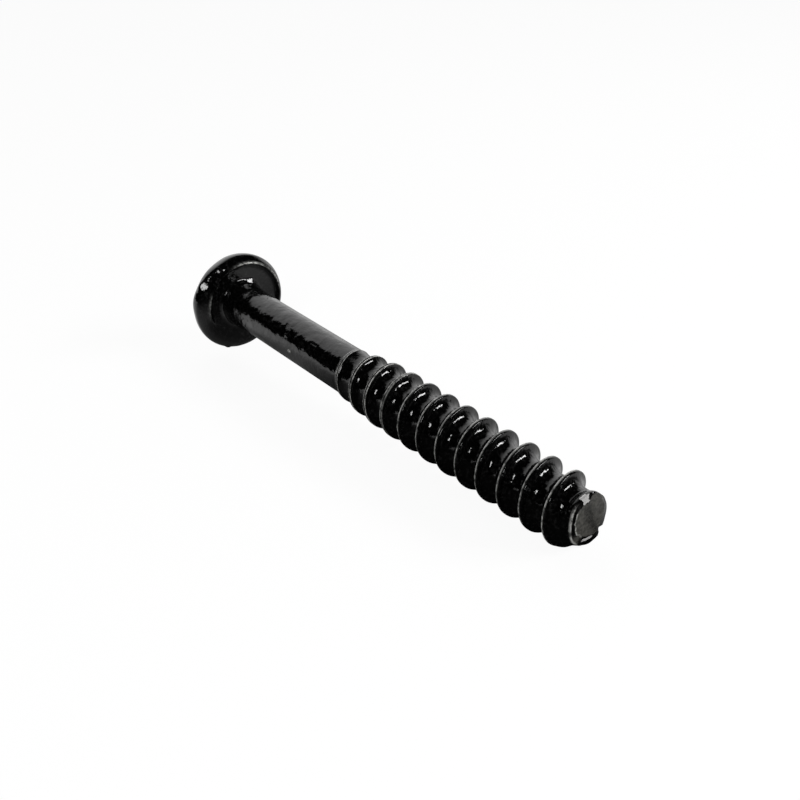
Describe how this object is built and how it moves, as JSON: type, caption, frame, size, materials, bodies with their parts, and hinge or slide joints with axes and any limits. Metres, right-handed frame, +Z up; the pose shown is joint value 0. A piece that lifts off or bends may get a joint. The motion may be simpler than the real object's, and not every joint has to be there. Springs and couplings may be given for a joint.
{
  "type": "self-tapping screw",
  "caption": "Black self-tapping screw with a domed head, cross recess, plain shank and coarse right-hand thread running to a blunt end.",
  "frame": {"origin": "on the ground under the middle of the screw's bounding box, with the screw lying on its head rim and on a thread crest near the tip", "axes": "+X from head to tip, along the screw's ground line; +Z up"},
  "size_m": [0.0434, 0.0088, 0.0088],
  "materials": {
    "black_lacquer": "glossy black lacquer on steel, worn bright along the thread crests and chipped at the blunt end"
  },
  "bodies": {
    "root": {"screw": "black_lacquer"}
  },
  "joints": []
}
